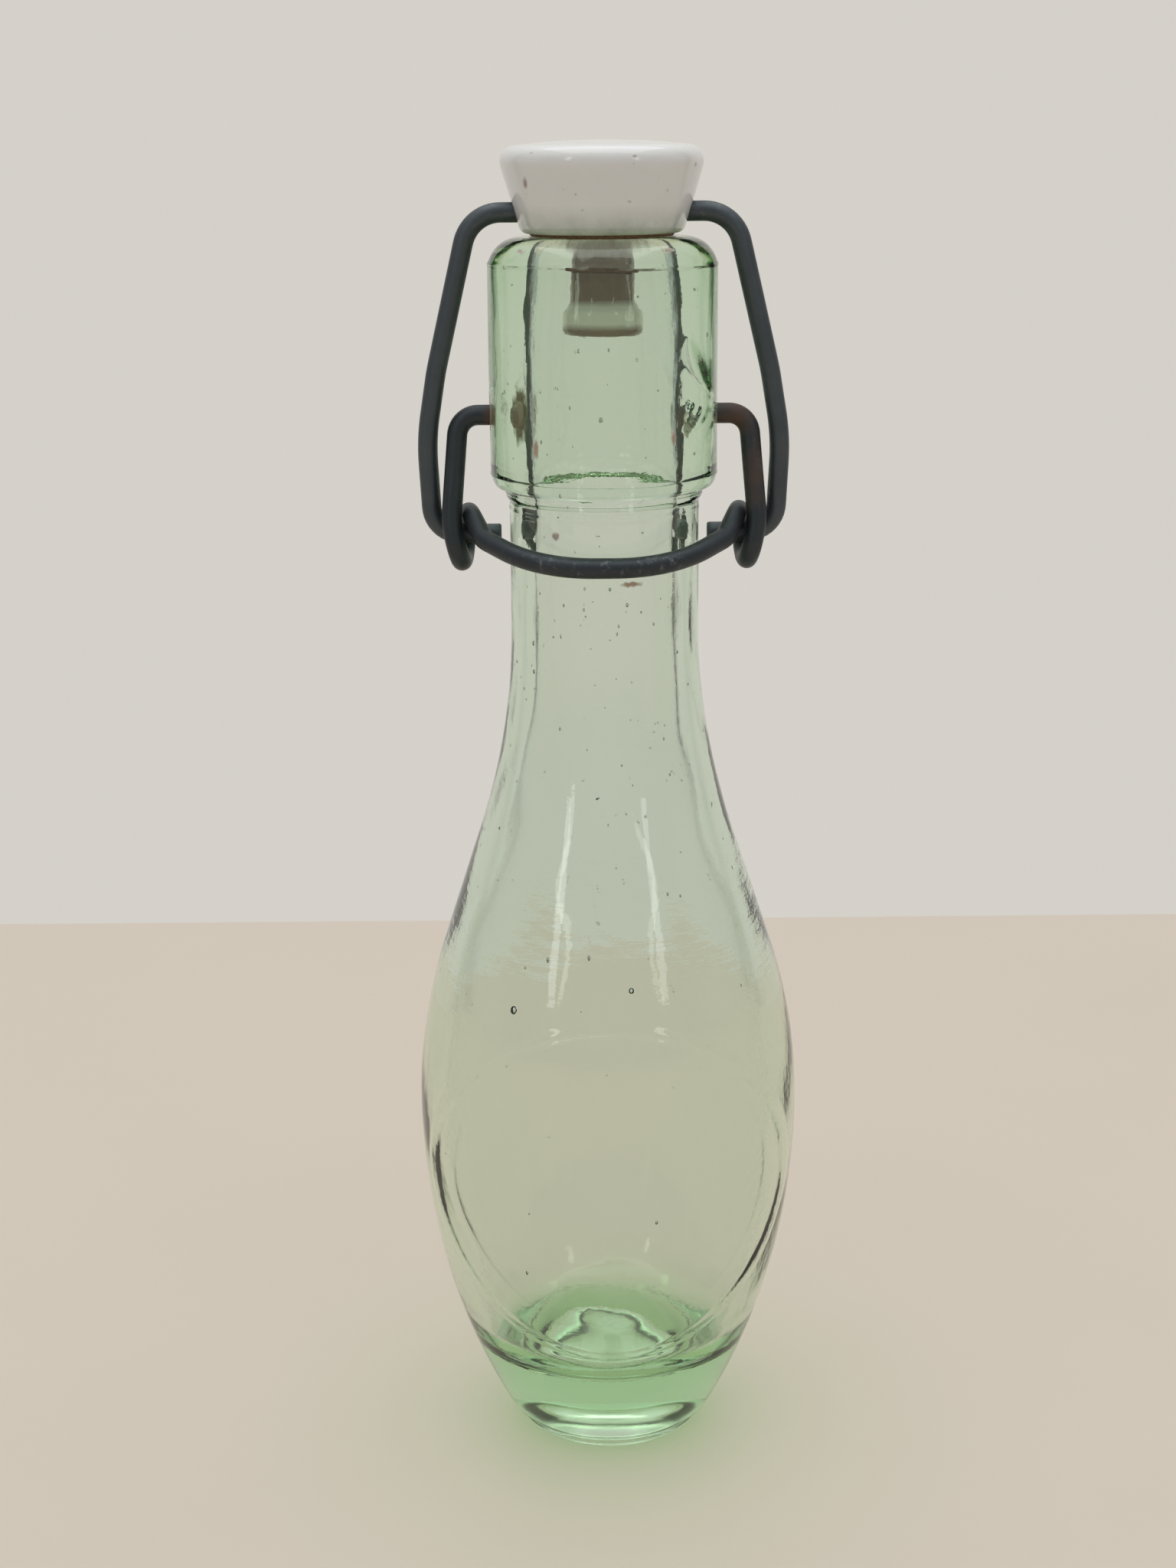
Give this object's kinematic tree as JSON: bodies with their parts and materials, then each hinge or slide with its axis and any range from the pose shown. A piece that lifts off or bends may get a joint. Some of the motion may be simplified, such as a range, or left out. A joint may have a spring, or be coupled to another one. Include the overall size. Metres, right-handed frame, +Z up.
{
  "type": "swing top bottle",
  "caption": "Small round-bellied glass bottle with a porcelain stopper, a rubber seal and a hinged wire bail and lever that clamp it shut.",
  "frame": {"origin": "centre of the foot, on the surface that the bottle stands on", "axes": "+Z up along the bottle's axis; the front, with the lever's bow and the raised ring, faces -Y; the wires' hinge axes lie along X"},
  "size_m": [0.069, 0.069, 0.2349],
  "materials": {
    "glass": "pale green pressed glass, thick and slightly wavy",
    "porcelain": "white glazed porcelain, opaque and glossy with small brown specks",
    "rubber": "aged brown rubber",
    "bail_wire": "dark blue-black steel wire, satin",
    "lever_wire": "dark steel wire, worn bright on the bow, a little rust at the ends"
  },
  "bodies": {
    "bottle": {"bottle": "glass"},
    "lever": {"lever": "lever_wire"},
    "bail": {"bail": "bail_wire"},
    "stopper": {"stopper": "porcelain", "seal": "rubber"}
  },
  "joints": [
    {"name": "lever_hinge", "type": "hinge", "parent": "bottle", "child": "lever", "pos_m": [0, 0, 0.18944], "axis": [-1, 0, 0], "range_deg": [0, 95]},
    {"name": "bail_hinge", "type": "hinge", "parent": "lever", "child": "bail", "pos_m": [0, 0.0007, 0.16885], "axis": [-1, 0, 0], "range_deg": [-67.45, 0]},
    {"name": "stopper_hinge", "type": "hinge", "parent": "bail", "child": "stopper", "pos_m": [0, 0, 0.22324], "axis": [-1, 0, 0], "range_deg": [-27.55, 0]}
  ],
  "couplings": [
    {"joint": "bail_hinge", "follows": "lever_hinge", "ratio": -0.71},
    {"joint": "stopper_hinge", "follows": "lever_hinge", "ratio": -0.29}
  ]
}
